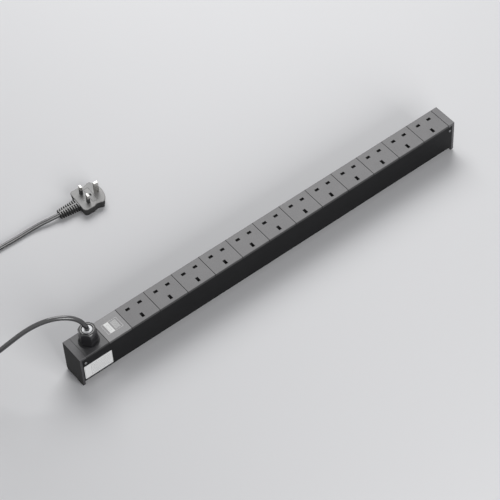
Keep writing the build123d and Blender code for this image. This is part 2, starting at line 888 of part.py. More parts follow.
coil_width = coil_columns * cord_diameter
coil_height = coil_layers * cord_diameter
notch = cord_diameter + 2 * coil_clearance
with BuildPart() as cord_coil:
    with BuildSketch(Plane(origin=(coil_x, coil_y, 0), x_dir=(1, 0, 0), z_dir=(0, -1, 0))):
        with Locations((coil_turn_radius, coil_height / 2)):
            Rectangle(coil_width, coil_height)
        chamfer(vertices(), coil_corner)
    revolve(axis=Axis((coil_x, coil_y, 0), (0, 0, 1)))
    with BuildSketch(Plane.XZ.offset(-coil_y)):
        with Locations((lead_end[0], cord_radius)):
            Rectangle(notch, notch)
    extrude(amount=outer_turn, mode=Mode.SUBTRACT)
    with BuildSketch(Plane.YZ.offset(coil_x)):
        with Locations((tail_y, tail_height)):
            Rectangle(notch, notch)
    extrude(amount=outer_turn, mode=Mode.SUBTRACT)
keep(cord_coil, "cord_coil")

# Plug: tapered body with finger recesses, pins, sleeves, fuse carrier and ribbed strain relief
plug_plane = Plane(
    origin=(plug_x, plug_y, 0),
    x_dir=(math.cos(plug_heading), math.sin(plug_heading), 0),
    z_dir=(0, 0, 1),
)
face_plane = plug_plane.offset(plug_depth)
line_shank = (line_pin_thickness - 2 * sleeve_wall, line_pin_width - 2 * sleeve_wall)
carrier_bottom = plug_depth - fuse_carrier_depth

with BuildPart() as plug_body:
    with BuildSketch(face_plane):
        with BuildLine():
            Polyline(
                (plug_end_corner_x, plug_end_corner_y),
                (plug_end_corner_x - plug_corner, plug_half_width),
                (-plug_cord_side, plug_half_width),
                (-plug_cord_side, -plug_half_width),
                (plug_end_corner_x - plug_corner, -plug_half_width),
                (plug_end_corner_x, -plug_end_corner_y),
            )
            ThreePointArc(
                (plug_end_corner_x, -plug_end_corner_y),
                (plug_earth_side, 0),
                (plug_end_corner_x, plug_end_corner_y),
            )
        make_face()
        recess_y = plug_half_width - plug_recess_depth + plug_recess_radius
        with Locations((plug_recess_x, recess_y), (plug_recess_x, -recess_y)):
            Circle(plug_recess_radius, mode=Mode.SUBTRACT)
        corners = vertices()
        cord_corners = [v for v in corners if v.X < -plug_cord_side / 2]
        fillet(cord_corners, plug_cord_corner)
        fillet([v for v in corners if v not in cord_corners], plug_waist_blend)
    extrude(amount=-plug_depth, taper=plug_taper)
    chamfer(faces().sort_by(Axis.Z)[-1].edges(), plug_rim)
    with BuildSketch(face_plane):
        with Locations((fuse_carrier_x, 0)):
            Rectangle(
                fuse_carrier_width + 2 * fuse_carrier_gap, fuse_carrier_length + 2 * fuse_carrier_gap
            )
    extrude(amount=-fuse_carrier_depth - fuse_carrier_gap, mode=Mode.SUBTRACT)
    with BuildSketch(face_plane):
        with GridLocations(0, pin_spacing, 1, 2):
            Rectangle(*line_shank)
        with Locations((pin_spacing, 0)):
            Rectangle(earth_pin_width, earth_pin_thickness)
    extrude(amount=-pin_root, mode=Mode.SUBTRACT)
keep(plug_body, "plug_body")


def line_pin(side, name):
    """Pin with a reduced shank under its sleeve and a chamfered tip."""
    with BuildPart() as pin:
        with BuildSketch(face_plane.offset(-pin_root)):
            with Locations((0, side * line_offset)):
                Rectangle(*line_shank)
        extrude(amount=pin_root + sleeve_length)
        with BuildSketch(face_plane.offset(sleeve_length)):
            with Locations((0, side * line_offset)):
                Rectangle(line_pin_thickness, line_pin_width)
        extrude(amount=line_pin_length - sleeve_length)
        chamfer(faces().sort_by(Axis.Z)[-1].edges(), pin_chamfer)
    return keep(pin, name)


line_pin(-1, "plug_pin_live")
line_pin(1, "plug_pin_neutral")

with BuildPart() as plug_pin_earth:
    with BuildSketch(face_plane.offset(-pin_root)):
        with Locations((pin_spacing, 0)):
            Rectangle(earth_pin_width, earth_pin_thickness)
    extrude(amount=pin_root + earth_pin_length)
    chamfer(faces().sort_by(Axis.Z)[-1].edges(), pin_chamfer)
keep(plug_pin_earth, "plug_pin_earth")

with BuildPart() as plug_sleeves:
    with BuildSketch(face_plane):
        with GridLocations(0, pin_spacing, 1, 2):
            Rectangle(line_pin_thickness, line_pin_width)
            Rectangle(*line_shank, mode=Mode.SUBTRACT)
    extrude(amount=sleeve_length)
keep(plug_sleeves, "plug_sleeves")

fuse_axis = Plane(
    origin=plug_plane.from_local_coords((fuse_carrier_x, 0, fuse_axis_height)),
    x_dir=plug_plane.x_dir,
    z_dir=plug_plane.y_dir,
)
with BuildPart() as fuse_carrier:
    with BuildSketch(face_plane):
        with Locations((fuse_carrier_x, 0)):
            Rectangle(fuse_carrier_width, fuse_carrier_length)
    extrude(amount=-fuse_carrier_depth)
    with BuildSketch(fuse_axis):
        Circle(fuse_radius + fuse_gap)
    extrude(amount=fuse_length / 2, both=True, mode=Mode.SUBTRACT)
    with BuildSketch(plug_plane.offset(carrier_bottom)):
        with Locations((fuse_carrier_x, 0)):
            Rectangle(2 * (fuse_radius + fuse_gap), fuse_length)
    extrude(amount=fuse_axis_height - carrier_bottom, mode=Mode.SUBTRACT)
    with BuildSketch(face_plane):
        with Locations((fuse_carrier_x, 0)):
            Rectangle(pry_slot_width, pry_slot_length)
    extrude(amount=-pry_slot_depth, mode=Mode.SUBTRACT)
keep(fuse_carrier, "fuse_carrier")

with BuildPart() as fuse:
    with BuildSketch(fuse_axis):
        Circle(fuse_radius)
    extrude(amount=fuse_length / 2, both=True)
keep(fuse, "fuse")

relief_root = Plane(
    origin=plug_plane.from_local_coords((-plug_cord_side, 0, relief_axis_height)),
    x_dir=-plug_plane.y_dir,
    z_dir=-plug_plane.x_dir,
)


def relief_size(distance):
    """Width and height of the strain relief at a distance from the plug."""
    share = distance / relief_length
    width = relief_root_width + share * (relief_end_width - relief_root_width)
    height = relief_root_height + share * (relief_end_height - relief_root_height)
    return width, height


with BuildPart() as plug_relief:
    for distance in (0, relief_length):
        width, height = relief_size(distance)
        with BuildSketch(relief_root.offset(distance)):
            RectangleRounded(width - 2 * relief_groove, height - 2 * relief_groove, relief_core_corner)
    loft()
    rib_pitch = (relief_length - relief_rib_thickness) / relief_rib_count
    for index in range(relief_rib_count + 1):
        distance = index * rib_pitch
        width, height = relief_size(distance)
        with BuildSketch(relief_root.offset(distance)):
            RectangleRounded(width, height, relief_rib_corner)
        extrude(amount=relief_rib_thickness)
    with BuildSketch(relief_root):
        with Locations((0, (relief_end_height - relief_groove) / 4)):
            Rectangle(relief_spine_width, (relief_end_height + relief_groove) / 2)
    extrude(amount=relief_length)
keep(plug_relief, "plug_relief")

os.makedirs("parts", exist_ok=True)
for part in parts:
    export_step(part, f"parts/{part.label}.step")
print(len(parts), "pieces")
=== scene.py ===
# %% [markdown]
# A rack power strip with a row of British 13 A sockets, a cable gland at its left end, and a free
# mains lead that ends in a moulded plug. The solid parts come from the packed CAD model, which
# stays where it is. This script adds what the CAD model leaves out: the lead's real turns, moulded
# and turned details, a label, surface finishes, a floor, lamps and the camera.

# %% Load the packed model
import math

import bmesh
import bpy
from mathutils import Matrix, Vector


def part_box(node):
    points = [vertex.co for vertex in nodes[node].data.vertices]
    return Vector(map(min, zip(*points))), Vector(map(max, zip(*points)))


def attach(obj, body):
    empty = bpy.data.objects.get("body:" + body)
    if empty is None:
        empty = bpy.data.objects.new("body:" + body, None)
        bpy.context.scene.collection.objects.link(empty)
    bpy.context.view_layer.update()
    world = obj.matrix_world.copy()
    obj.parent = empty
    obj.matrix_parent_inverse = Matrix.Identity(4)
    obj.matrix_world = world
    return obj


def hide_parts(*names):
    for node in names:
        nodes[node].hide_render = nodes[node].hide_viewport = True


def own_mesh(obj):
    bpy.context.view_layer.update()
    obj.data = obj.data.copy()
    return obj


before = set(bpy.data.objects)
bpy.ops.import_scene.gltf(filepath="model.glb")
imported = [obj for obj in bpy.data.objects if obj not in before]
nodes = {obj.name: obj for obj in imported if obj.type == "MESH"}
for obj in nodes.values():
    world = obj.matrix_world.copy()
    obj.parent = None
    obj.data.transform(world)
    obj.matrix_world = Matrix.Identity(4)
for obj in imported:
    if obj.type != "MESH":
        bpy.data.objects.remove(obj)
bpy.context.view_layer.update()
scene = bpy.context.scene

# %% [markdown]
# The camera stands where the photographer's did: in front, to the left and high up, with a long
# lens. Its three axes are written as the columns of a matrix, worked out once from the slots of
# the sockets, whose true distances are known. Turning a camera by eye would never match as well.

# %% Camera
camera_data = bpy.data.cameras.new("photo_camera")
camera_data.sensor_width = 36.0
camera_data.lens = 144.87
camera_data.shift_y = 0.001
camera_data.clip_end = 100.0
camera = bpy.data.objects.new("photo_camera", camera_data)
scene.collection.objects.link(camera)
camera_turn = Matrix((
    (0.786706, 0.500485, -0.361398),
    (-0.615892, 0.596416, -0.514748),
    (-0.042080, 0.627537, 0.777448),
)).to_4x4()
camera.matrix_world = Matrix.Translation((-1.16241, -1.60857, 2.46574)) @ camera_turn
scene.camera = camera
print("camera", [round(v, 3) for v in camera.matrix_world.translation])

# %% [markdown]
# Some places on the strip are needed again and again, so they get their names here: the flat top,
# the joints between the modules, the end caps, and the gland that the lead leaves through. All
# lengths are metres, and X runs along the strip with its middle at 0.

# %% Places on the strip
strip_top = 0.065
wall_y = 0.02225
cap_joint = 0.357
cap_face = 0.369
sockets_start = -0.273
socket_pitch = 0.0525
plain_pitch = 0.042
socket_numbers = range(1, 13)
gland_x = -0.336
plug_face = 0.016
plug_turn = math.radians(-3.4)
print("strip", 2 * cap_face, "long, sockets", socket_pitch, "apart")

# %% [markdown]
# The lead is one flexible thing from the gland to the plug, so it is one smooth curve. A NURBS
# spline takes the points of the route and rounds every corner by itself, which a chain of straight
# tubes can't do. It rises out of the gland, falls over in an arch, and is stored in a coil that
# lies left of the picture, from which a short tail runs to the plug.

# %% Route of the lead
cord_radius = 0.00375
cord_diameter = 2 * cord_radius
coil_x, coil_y = -0.450, 0.22125
outer_turn = 0.05625
seal_top = 0.0932

lead_route = [
    (gland_x, 0.0, seal_top),
    (gland_x - 0.0012, 0.0005, 0.1012),
    (gland_x - 0.0062, 0.0028, 0.1141),
    (gland_x - 0.0134, 0.0060, 0.1231),
    (gland_x - 0.0232, 0.0103, 0.1296),
    (gland_x - 0.0350, 0.0156, 0.1334),
    (gland_x - 0.0496, 0.0221, 0.1338),
    (gland_x - 0.0664, 0.0296, 0.1290),
    (gland_x - 0.0842, 0.0375, 0.1189),
    (gland_x - 0.1045, 0.0465, 0.1018),
    (gland_x - 0.1295, 0.0600, 0.0765),
    (gland_x - 0.1480, 0.0780, 0.0540),
    (gland_x - 0.1610, 0.1010, 0.0330),
    (gland_x - 0.1685, 0.1270, 0.0160),
    (gland_x - 0.1715, 0.1540, 0.0055),
    (gland_x - 0.1713, 0.1800, cord_radius),
    (coil_x - outer_turn - 0.0005, 0.2030, cord_radius),
    (coil_x - outer_turn - 0.0011, coil_y, cord_radius),
]
tail_route = [
    (-0.4500, 0.2786, 0.01125),
    (-0.4260, 0.2775, 0.01125),
    (-0.4000, 0.2783, 0.0078),
    (-0.3730, 0.2799, 0.0043),
    (-0.3450, 0.2811, cord_radius),
    (-0.3160, 0.2812, 0.00385),
    (-0.2870, 0.2801, cord_radius),
    (-0.2620, 0.2804, 0.00415),
    (-0.2410, 0.2784, 0.00595),
    (-0.22279, 0.27434, 0.0080),
    (-0.20881, 0.27351, 0.0080),
]
print("lead", cord_diameter, "thick, leaves the gland at", lead_route[0])

# %% [markdown]
# The stored length is wound as a shop winds it: four turns from the outside in on the floor, then
# more on top of them from the inside out. Each turn is a circle for most of its way and drifts over
# by one diameter in a quarter of a turn, so the lead bends gently and the turns touch only with
# their skins. The spline cuts the corners between its points a little, so the points stand further
# out by the share that it cuts off.

# %% Turns of the coil
points_per_turn = 16
coil_turns = 7.25
lower_turns = 4
lower_drift, climb, upper_drift = 12, 11, 6
step = 2 * math.pi / points_per_turn
shrink = 0.75 + 0.25 * math.cos(step)


def step_over(part, start):
    """0 up to a sixteenth of a turn, 1 from four sixteenths later, and smooth in between."""
    share = min(1.0, max(0.0, (part - start) / 4))
    return share * share * (3 - 2 * share)


def coil_place(count):
    """Radius and height of the lead after a number of sixteenths of a turn."""
    turn, part = divmod(count, points_per_turn)
    last = lower_turns - 1
    if turn < lower_turns:
        column = turn + (step_over(part, lower_drift) if turn < last else 0.0)
        layer = step_over(part, climb) if turn == last else 0.0
    else:
        column = last + lower_turns - turn - step_over(part, upper_drift)
        layer = 1.0
    return outer_turn - column * cord_diameter, cord_radius + layer * cord_diameter


coil_route = []
for count in range(1, int(coil_turns * points_per_turn)):
    radius, height = coil_place(count)
    angle = count * step
    coil_route.append((
        coil_x - radius / shrink * math.cos(angle),
        coil_y + radius / shrink * math.sin(angle),
        height,
    ))
route = lead_route + coil_route + tail_route
print("points of the lead", len(route))

# %% [markdown]
# A curve object with a round bevel is the quickest cord: Blender sweeps the circle along the
# spline, keeps the thickness the same in every bend, and closes both ends with a cap.


# %% Lead as a curve
def make_cord(name, points, radius):
    """A round NURBS curve along the points."""
    data = bpy.data.curves.new(name, "CURVE")
    data.dimensions = "3D"
    data.bevel_depth = radius
    data.bevel_resolution = 5
    data.resolution_u = 6
    data.use_fill_caps = True
    spline = data.splines.new("NURBS")
    spline.points.add(len(points) - 1)
    for point, place in zip(spline.points, points):
        point.co = (*place, 1.0)
    spline.order_u = 3
    spline.use_endpoint_u = True
    obj = bpy.data.objects.new(name, data)
    scene.collection.objects.link(obj)
    return obj


lead = make_cord("mains_lead", route, cord_radius)
print("curve", lead.name, "with", len(lead.data.splines[0].points), "points")

# %% [markdown]
# Every new piece is modelled by hand operations on a primitive. An operator acts on all that is
# selected, so each piece starts from an empty selection, and faces and edges are picked in code by
# where they are.


# %% Helpers for selecting
def deselect_all():
    """Leave nothing selected, in object mode."""
    if bpy.context.object and bpy.context.object.mode != "OBJECT":
        bpy.ops.object.mode_set(mode="OBJECT")
    bpy.ops.object.select_all(action="DESELECT")


def make_active(obj):
    """Select one object and no other."""
    deselect_all()
    bpy.context.view_layer.objects.active = obj
    obj.select_set(True)


def select_faces(obj, wanted):
    """In edit mode, select only the faces for which wanted(face) is true."""
    bpy.ops.object.mode_set(mode="EDIT")
    bpy.ops.mesh.select_mode(type="FACE")
    bpy.ops.mesh.select_all(action="DESELECT")
    mesh = bmesh.from_edit_mesh(obj.data)
    for face in mesh.faces:
        face.select = wanted(face)
    bmesh.update_edit_mesh(obj.data)


def select_edges(obj, wanted):
    """In edit mode, select only the edges for which wanted(edge) is true."""
    bpy.ops.object.mode_set(mode="EDIT")
    bpy.ops.mesh.select_mode(type="EDGE")
    bpy.ops.mesh.select_all(action="DESELECT")
    mesh = bmesh.from_edit_mesh(obj.data)
    for edge in mesh.edges:
        edge.select = wanted(edge)
    bmesh.update_edit_mesh(obj.data)


def runs_along_y(edge):
    """Whether an edge is parallel to Y."""
    return abs((edge.verts[0].co - edge.verts[1].co).normalized().y) > 0.9


# %% [markdown]
# A finished piece has its modifiers applied, its faces outwards, and its place in its mesh, with
# its object at the origin, as the CAD nodes have. Smooth shading by angle keeps the real corners
# sharp. Where large flat faces meet rounded edges, the normals are weighted by area, or the flats
# would shade as if they were pillows.


# %% Helpers for finishing a piece
def add_modifier(obj, kind, **settings):
    """Give a piece a modifier with its settings."""
    modifier = obj.modifiers.new(kind.lower(), kind)
    for key, value in settings.items():
        setattr(modifier, key, value)
    return modifier


def finish_piece(name, angle=30, flat_faces=False):
    """Name the active piece, apply its place, face it outwards and shade it smooth.

    Edges sharper than the angle, in degrees, stay sharp. With flat_faces, large faces keep their
    own direction and only the rounded edges blend.
    """
    obj = bpy.context.object
    if obj.mode != "OBJECT":
        bpy.ops.object.mode_set(mode="OBJECT")
    obj.name = name
    obj.data.name = name
    for modifier in list(obj.modifiers):
        bpy.ops.object.modifier_apply(modifier=modifier.name)
    bpy.ops.object.transform_apply(location=True, rotation=True, scale=True)
    bpy.ops.object.mode_set(mode="EDIT")
    bpy.ops.mesh.select_all(action="SELECT")
    bpy.ops.mesh.normals_make_consistent(inside=False)
    bpy.ops.object.mode_set(mode="OBJECT")
    bpy.ops.object.shade_smooth_by_angle(angle=math.radians(angle))
    if flat_faces:
        add_modifier(obj, "WEIGHTED_NORMAL", mode="FACE_AREA", weight=50, keep_sharp=True)
        bpy.ops.object.modifier_apply(modifier="weighted_normal")
    return obj


print("a finished piece keeps edges sharper than 30 degrees")

# %% [markdown]
# New pieces start as a block or as a copy of a CAD node. A CAD mesh is loose triangles, so a copy
# is merged and its flat faces are made whole before an edge can be rounded. A recess is cut with a
# Boolean, because a moulded slot has crisp walls that pushing faces about can't give.


# %% Helpers for blocks, copies and cuts
def add_block(size, place, turn=0.0):
    """A block of a size at a place, turned about Z, as the active object."""
    deselect_all()
    bpy.ops.mesh.primitive_cube_add(size=1, location=place, rotation=(0, 0, turn))
    obj = bpy.context.object
    obj.scale = size
    bpy.ops.object.transform_apply(location=False, rotation=False, scale=True)
    return obj


def cut_away(obj, cutter):
    """Cut another object's volume out of a piece, and leave the piece active."""
    make_active(obj)
    cut = add_modifier(obj, "BOOLEAN", operation="DIFFERENCE", object=cutter, solver="EXACT")
    bpy.ops.object.modifier_apply(modifier=cut.name)
    bpy.data.objects.remove(cutter)


def copy_node(node, name):
    """A copy of a CAD node's mesh with its loose triangles merged, as the active object."""
    obj = bpy.data.objects.new(name, nodes[node].data.copy())
    scene.collection.objects.link(obj)
    make_active(obj)
    bpy.ops.object.mode_set(mode="EDIT")
    bpy.ops.mesh.select_all(action="SELECT")
    bpy.ops.mesh.remove_doubles(threshold=0.000005)
    bpy.ops.mesh.dissolve_limited(angle_limit=math.radians(0.5))
    bpy.ops.object.mode_set(mode="OBJECT")
    obj.data.materials.clear()
    return obj


print("CAD nodes that a copy can start from", len(nodes))

# %% [markdown]
# A strip of hook and loop tape holds the coil together. It could be a swept curve, but a block is
# simpler: it is laid around the bundle, opened at both ends, rounded at its four long corners, and
# given the tape's thickness by a Solidify modifier.

# %% Tie around the coil
tie_angle = math.radians(45)
tie_reach = 0.045
tie_height = 0.0088
bundle_size = (0.0304, 0.012, 0.0158)
tape_bend = 0.0032
tape_thickness = 0.0008
tie_place = (
    coil_x - tie_reach * math.cos(tie_angle),
    coil_y + tie_reach * math.sin(tie_angle),
    tie_height,
)
tie = add_block(bundle_size, tie_place, math.pi - tie_angle)
select_faces(tie, lambda face: abs(face.normal.y) > 0.9)
bpy.ops.mesh.delete(type="ONLY_FACE")
select_edges(tie, runs_along_y)
bpy.ops.mesh.bevel(offset=tape_bend, segments=5)
bpy.ops.object.mode_set(mode="OBJECT")
add_modifier(tie, "SOLIDIFY", thickness=tape_thickness, offset=1.0)
tie = finish_piece("coil_tie")
print("tie", len(tie.data.polygons), "faces")

# %% [markdown]
# A finish is a graph of nodes, and most of them only add, multiply or compare. Wiring those by hand
# hides what they mean, so a small class wraps a socket and lets Python's own operators add the Math
# nodes. Then 1 - mask or 0.5 * noise reads as it would on paper.


# %% Shader maths
class Value:
    """A shader socket that adds Math nodes when Python adds, multiplies or compares it."""

    def __init__(self, graph, socket):
        self.graph = graph
        self.socket = socket

    def math(self, operation, *others, clamp=False):
        values = dict(enumerate((self, *others)))
        settings = {"operation": operation, "use_clamp": clamp}
        return self.graph.node("ShaderNodeMath", settings, values)

    def __add__(self, other):
        return self.math("ADD", other)

    def __mul__(self, other):
        return self.math("MULTIPLY", other)

    def __sub__(self, other):
        return self.math("SUBTRACT", other)

    def __rsub__(self, other):
        return self.graph.node("ShaderNodeMath", {"operation": "SUBTRACT"}, {0: other, 1: self})

    def __gt__(self, other):
        return self.math("GREATER_THAN", other)

    def __lt__(self, other):
        return self.math("LESS_THAN", other)

    __radd__ = __add__
    __rmul__ = __mul__

    def clamped(self):
        return self.math("ADD", 0.0, clamp=True)

    def absolute(self):
        return self.math("ABSOLUTE")

    def folded(self, length):
        """The way to the nearest even multiple of a length, as a ruler folded to and fro."""
        return self.math("PINGPONG", length)


print("operators", sorted(name for name in vars(Value) if name.startswith("__r")))

# %% [markdown]
# Every other node comes from one method, which takes the node's type, its settings and the values
# or links of its sockets. A finish adds what the patterns of this object need: noise, a smooth
# step, a mix of two colours and a bump, all on Object coordinates, which stay put on a piece that
# moves.


# %% Node graphs
class Graph:
    """A node tree, with one method that adds any node."""

    def __init__(self, tree):
        self.tree = tree

    def node(self, kind, settings=None, values=None, output=0):
        """Add a node: its settings first, then the values or links of its sockets."""
        new = self.tree.nodes.new(kind)
        for key, value in (settings or {}).items():
            setattr(new, key, value)
        for key, value in (values or {}).items():
            if isinstance(value, Value):
                self.tree.links.new(value.socket, new.inputs[key])
            else:
                new.inputs[key].default_value = value
        return Value(self, new.outputs[output])

    def seen(self):
        """1 for rays by which an eye sees a thing, directly, mirrored or through glass."""
        kinds = ("Is Camera Ray", "Is Glossy Ray", "Is Transmission Ray")
        rays = [self.node("ShaderNodeLightPath", output=kind) for kind in kinds]
        return (rays[0] + rays[1] + rays[2]).clamped()


class Finish(Graph):
    """A material's graph around its main shader."""

    def __init__(self, name):
        self.material = bpy.data.materials.new(name)
        self.material.use_nodes = True
        super().__init__(self.material.node_tree)
        self.shader = self.tree.nodes["Principled BSDF"]
        self.place = self.node("ShaderNodeTexCoord", output="Object")

    def noise(self, scale, detail=2.0, vector=None, roughness=0.5):
        """Noise from 0 to 1 with a feature size of about 1 / scale metres."""
        values = {"Vector": vector or self.place, "Scale": scale, "Detail": detail,
                  "Roughness": roughness}
        return self.node("ShaderNodeTexNoise", None, values, "Fac")

    def stretched(self, scale):
        """Object coordinates scaled apart along X, Y and Z."""
        return self.node("ShaderNodeMapping", None, {"Vector": self.place, "Scale": scale})

    def along(self, axis):
        """The object coordinate along one axis."""
        return self.node("ShaderNodeSeparateXYZ", None, {"Vector": self.place}, axis)

    def ramp(self, value, low, high):
        """0 below low, 1 above high, and smooth in between."""
        return self.node("ShaderNodeMapRange", {"interpolation_type": "SMOOTHSTEP"},
                         {"Value": value, "From Min": low, "From Max": high})

    def mix(self, mask, first, second):
        """A colour from first to second as mask goes from 0 to 1."""
        colours = [c if isinstance(c, Value) else (*c, 1.0) for c in (first, second)]
        return self.node("ShaderNodeMix", {"data_type": "RGBA"},
                         {0: mask, 6: colours[0], 7: colours[1]}, 2)

    def bump(self, height, distance, strength=1.0):
        """A normal tilted by the slopes of a height."""
        return self.node("ShaderNodeBump", None,
                         {"Height": height, "Distance": distance, "Strength": strength})

    def shade(self, **sockets):
        """Set or link the main shader's sockets; an underscore stands for a space."""
        for key, value in sockets.items():
            socket = self.shader.inputs[key.replace("_", " ")]
            if isinstance(value, Value):
                self.tree.links.new(value.socket, socket)
            else:
                socket.default_value = value
        return self.material


print("a finish is made of", [name for name in vars(Finish) if not name.startswith("_")])

# %% [markdown]
# The strip stands on a plain pale floor. The floor looks almost white to the camera and in
# reflections, while for scattered light it is darker, so that it doesn't light the strip's sides
# from below more than a studio floor would. It lies a hair below the model, so that no two faces
# share one plane.

# %% Floor
deselect_all()
bpy.ops.mesh.primitive_plane_add(size=14.0, location=(0.0, 0.0, -0.0002))
floor = bpy.context.object
floor.name = "studio_floor"
paper = Finish("pale_floor")
paper.shade(
    Base_Color=paper.mix(paper.seen(), (0.30, 0.30, 0.31), (0.80, 0.80, 0.81)),
    Roughness=0.75 + 0.1 * paper.noise(9.0),
    Specular_IOR_Level=0.2,
)
floor.data.materials.append(paper.material)
print("floor", tuple(floor.dimensions))

# %% [markdown]
# The backdrop is plain white to the camera and in reflections. As a lamp it is weak and slightly
# blue, because a white sky all round would wash out the shadows that show the object's shape.

# %% Backdrop
world = bpy.data.worlds.new("studio_world")
scene.world = world
world.use_nodes = True
sky = Graph(world.node_tree)
sky.tree.nodes.remove(sky.tree.nodes["Background"])
dim = sky.node("ShaderNodeBackground", None, {"Color": (0.93, 0.95, 1.0, 1.0), "Strength": 0.15})
white = sky.node("ShaderNodeBackground", None, {"Color": (1.0, 1.0, 1.0, 1.0), "Strength": 1.0})
mixed = sky.node("ShaderNodeMixShader", None, {0: sky.seen(), 1: dim, 2: white})
sky.tree.links.new(mixed.socket, sky.tree.nodes["World Output"].inputs["Surface"])
scene.view_settings.view_transform = "Standard"
print("backdrop", world.name, "with", len(sky.tree.nodes), "nodes")

# %% [markdown]
# One large soft lamp stands behind the strip, where its light glances off the flat tops towards
# the camera and shows their fine grain. Another in front and low down lifts the label and the front
# wall. Small hard lamps would give sharper glints, but also shadows that the eye reads as parts.


# %% Lamps
def add_lamp(name, place, target, size, power):
    """A soft lamp of a width and height that faces a target."""
    data = bpy.data.lights.new(name, "AREA")
    data.shape = "RECTANGLE"
    data.size, data.size_y = size
    data.energy = power
    obj = bpy.data.objects.new(name, data)
    scene.collection.objects.link(obj)
    obj.location = place
    obj.rotation_euler = (Vector(target) - Vector(place)).to_track_quat("-Z", "Y").to_euler()
    print(name, power, "watts")


add_lamp("sheen_lamp", (0.74, 1.20, 1.64), (0.0, 0.08, 0.0), (1.75, 1.35), 32.0)
add_lamp("front_lamp", (-0.05, -2.0, 1.05), (-0.05, 0.0, 0.05), (1.4, 1.2), 29.0)

# %% [markdown]
# The body is a black anodised extrusion. Anodising keeps the fine lines that the die draws along
# the metal, so its bump is noise stretched a hundredfold along the strip.

# %% Finish of the extrusion
anodised = Finish("black_anodised")
die_lines = anodised.noise(1.0, 3.0, anodised.stretched((6.0, 1500.0, 1500.0)))
cloud = anodised.noise(25.0, 2.0)
anodised.shade(
    Base_Color=anodised.mix(cloud, (0.006, 0.006, 0.0065), (0.011, 0.011, 0.012)),
    Roughness=0.42 + 0.10 * die_lines,
    Specular_IOR_Level=0.13,
    Normal=anodised.bump(die_lines, 0.00003, 0.5),
)
print("finish", anodised.material.name)

# %% [markdown]
# Sockets, blanks and caps are moulded in dark grey plastic with a spark-eroded grain: tiny pits
# with a dull sheen. Modelled pits would take millions of faces, so the grain is noise at several
# sizes, which sets the tone, the roughness and a bump of a few hundredths of a millimetre.


# %% Finish of moulded plastic
def moulded(name, dark, light, rough=0.5, grain=1900.0, level=0.6, ink=None, shade=None,
            polish=0.0):
    """A grained plastic between two close greys.

    ink(finish) is 1 where a mark is printed, and shade(finish) where the colour goes near black:
    dust at joints, and painted shade on sides and in recesses.
    With polish, a glossy skin lies over the plastic.
    """
    finish = Finish(name)
    pits = finish.noise(grain, 3.0, roughness=0.6)
    specks = finish.ramp(finish.noise(1150.0, 1.0), 0.25, 0.75)
    wear = finish.noise(60.0, 3.0)
    tone = (0.35 * pits + 0.55 * specks + 0.10 * wear).clamped()
    colour = finish.mix(tone, dark, light)
    dust_and_shade = shade(finish) if shade else 0.0
    if ink:
        colour = finish.mix(ink(finish), colour, (0.80, 0.80, 0.79))
    if shade:
        # painted shade and dust: near black where shade(finish) is 1
        colour = finish.mix(dust_and_shade, colour, (0.006, 0.006, 0.006))
    print("finish", name)
    return finish.shade(
        Base_Color=colour,
        Roughness=(rough + 0.16 * pits - 0.05 * wear + 0.5 * dust_and_shade).clamped(),
        Specular_IOR_Level=level,
        Coat_Weight=polish,
        Normal=finish.bump(pits, 0.00002, 0.6),
    )


# %% [markdown]
# A joint between two modules is a gap of a few tenths of a millimetre that fills with dust and
# swallows the light. The gap itself is in the model. What makes it read as a dark line is a band
# beside it painted near black, part dust and part painted shade, worked out from the distance to
# the joint. The skirts, the slots and the end plates get painted shade the same way, from how low
# or how far out they lie; the plastic itself is no darker there.


# %% Dust and painted shade at joints, painted shade on slots and sides
dust_and_shade_starts, dust_and_shade_ends = 0.00036, 0.00062
joint_shade_from = -0.35
slots_half_width = 0.0185
painted_skirt_shade = 0.6
rib_foot, rib_top = 0.0131, 0.0141


def joints_every(pitch):
    """Dust and painted shade at joints every pitch, painted shade on the skirts and in the slots.

    The left end cap's joint is tight and not darkened, and skirts get less painted shade than
    slots.
    """

    def shade(finish):
        away = (finish.along("X") - sockets_start).folded(pitch / 2)
        # painted shade on the skirts and slot walls, everything below the flat top
        below = 1 - finish.ramp(finish.along("Z"), strip_top - 0.0006, strip_top - 0.0002)
        in_slots = finish.along("Y").absolute() < slots_half_width
        depth = painted_skirt_shade + (1 - painted_skirt_shade) * in_slots
        # dust and painted shade in a band beside each joint
        joint = 1 - finish.ramp(away, dust_and_shade_starts, dust_and_shade_ends)
        joint = joint * (finish.along("X") > joint_shade_from)
        return (joint + below * depth).clamped()

    return shade


def cap_shade(finish):
    """Dust and painted shade at the right end cap's joint; painted shade on both end plates."""
    away = (finish.along("X") - cap_joint).absolute()
    # painted shade on the end plates, which face along X
    plate = finish.ramp(finish.along("X").absolute(), cap_face - 0.0006, cap_face - 0.0001)
    return (1 - finish.ramp(away, dust_and_shade_starts, dust_and_shade_ends) + 0.9 * plate).clamped()


def painted_shade_below_pin_face(finish):
    """The plug's sides below its pin face, painted near black as shade."""
    return 1 - finish.ramp(finish.along("Z"), plug_face - 0.0019, plug_face - 0.0003)


def painted_shade_between_ribs(finish):
    """All of the strain relief but the tops of its ribs and spine, painted near black as shade."""
    return 1 - finish.ramp(finish.along("Z"), rib_foot, rib_top)


print("dust reaches", dust_and_shade_ends, "from a joint")

# %% [markdown]
# Each plastic is two close greys with a roughness and a grain of its own. The gland's nylon is the
# glossiest, as a polished mould leaves it, and the seal is a pale rubber that stays matt.

